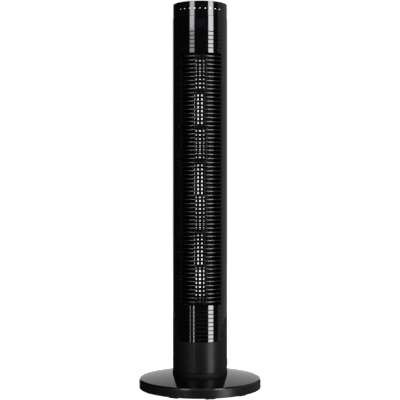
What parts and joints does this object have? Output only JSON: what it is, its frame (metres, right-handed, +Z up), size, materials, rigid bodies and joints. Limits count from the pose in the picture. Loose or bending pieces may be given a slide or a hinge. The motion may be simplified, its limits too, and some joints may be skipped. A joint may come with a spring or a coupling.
{
  "type": "tower fan",
  "caption": "Tall round tower fan: slotted outlet column with an inner cross-flow wheel, swinging on a round disc base, with push keys on top.",
  "frame": {"origin": "on the floor under the centre of the round base", "axes": "+Z up along the column; the air outlet faces -Y and +X is to the right seen from the front"},
  "size_m": [0.241, 0.241, 0.76],
  "materials": {
    "base_gloss": "polished black ABS",
    "base_under": "moulded black, unpainted",
    "collar": "polished black ABS",
    "housing_satin": "fine-grained satin black ABS",
    "shell_satin": "fine-grained satin black ABS",
    "panel_gloss": "polished black ABS",
    "cap_gloss": "polished black ABS",
    "window_smoked": "smoked translucent acrylic",
    "key_satin": "satin",
    "wheel_plastic": "glass-filled grey AS resin",
    "inner_black": "moulded",
    "acetal": "natural acetal",
    "rubber": "moulded",
    "steel": "zinc plated",
    "spring_steel": "phosphated",
    "screw_steel": "zinc plated",
    "lamination": "silicon steel sheets",
    "copper": "enamelled copper wire",
    "cast_alloy": "die cast",
    "bronze": "oil-filled sintered bronze",
    "circuit_board": "glass epoxy laminate",
    "switch_body": "moulded",
    "wire_sleeve": "PVC sleeve"
  },
  "bodies": {
    "base": {"base_cover": "base_gloss", "base_plate": "base_under", "ballast_plate": "steel", "rubber_feet": "rubber", "base_collar": "collar", "pivot_post": "steel", "thrust_washer": "acetal", "swing_gear": "acetal", "post_circlip": "spring_steel", "base_screws": "screw_steel"},
    "column": {"lower_housing": "housing_satin", "pivot_bush": "acetal", "cord_gland": "rubber", "rear_shell": "shell_satin", "rear_head_shell": "shell_satin", "intake_grille": "shell_satin", "front_panel": "panel_gloss", "outlet_grille": "panel_gloss", "shell_screws": "screw_steel", "display_window": "window_smoked", "grip_cup": "shell_satin", "top_cap": "cap_gloss", "control_panel": "panel_gloss", "control_board": "circuit_board", "tact_switches": "switch_body", "display_board": "circuit_board", "volute_guide": "inner_black", "flow_cutoff": "inner_black", "upper_bracket": "inner_black", "motor_bracket": "inner_black", "motor_mounts": "rubber", "stator_stack": "lamination", "stator_windings": "copper", "motor_upper_bell": "cast_alloy", "motor_lower_bell": "cast_alloy", "shaft_bushes": "bronze", "swing_bracket": "steel", "bracket_screws": "screw_steel", "swing_motor": "steel", "motor_capacitor": "switch_body", "terminal_block": "acetal", "wire_harness": "wire_sleeve"},
    "wheel": {"motor_shaft": "screw_steel", "motor_rotor": "lamination", "wheel_drive_hub": "wheel_plastic", "wheel_segment_1": "wheel_plastic", "wheel_segment_2": "wheel_plastic", "wheel_segment_3": "wheel_plastic", "wheel_segment_4": "wheel_plastic", "wheel_segment_5": "wheel_plastic", "wheel_segment_6": "wheel_plastic", "wheel_segment_7": "wheel_plastic", "wheel_top_hub": "wheel_plastic"},
    "swing_drive": {"swing_pinion": "acetal", "swing_motor_shaft": "screw_steel"},
    "key_power": {"key_power": "key_satin"},
    "key_speed": {"key_speed": "key_satin"},
    "key_swing": {"key_swing": "key_satin"},
    "key_timer": {"key_timer": "key_satin"},
    "key_mode": {"key_mode": "key_satin"}
  },
  "joints": [
    {"name": "column_swing", "type": "hinge", "parent": "base", "child": "column", "pos_m": [0, 0, 0.038], "axis": [0, 0, 1], "range_deg": [-37.5, 37.5]},
    {"name": "wheel_spin", "type": "hinge", "parent": "column", "child": "wheel", "pos_m": [0, 0, 0.4], "axis": [0, 0, 1], "continuous": true},
    {"name": "pinion_spin", "type": "hinge", "parent": "column", "child": "swing_drive", "pos_m": [0, 0.0375, 0.046], "axis": [0, 0, 1], "range_deg": [-150, 150]},
    {"name": "key_power_press", "type": "slide", "parent": "column", "child": "key_power", "axis": [0, 0, -1], "range_m": [0, 0.0015], "stiffness_N_per_m": 500},
    {"name": "key_speed_press", "type": "slide", "parent": "column", "child": "key_speed", "axis": [0, 0, -1], "range_m": [0, 0.0015], "stiffness_N_per_m": 500},
    {"name": "key_swing_press", "type": "slide", "parent": "column", "child": "key_swing", "axis": [0, 0, -1], "range_m": [0, 0.0015], "stiffness_N_per_m": 500},
    {"name": "key_timer_press", "type": "slide", "parent": "column", "child": "key_timer", "axis": [0, 0, -1], "range_m": [0, 0.0015], "stiffness_N_per_m": 500},
    {"name": "key_mode_press", "type": "slide", "parent": "column", "child": "key_mode", "axis": [0, 0, -1], "range_m": [0, 0.0015], "stiffness_N_per_m": 500}
  ],
  "couplings": [
    {"joint": "pinion_spin", "follows": "column_swing", "ratio": 4}
  ]
}
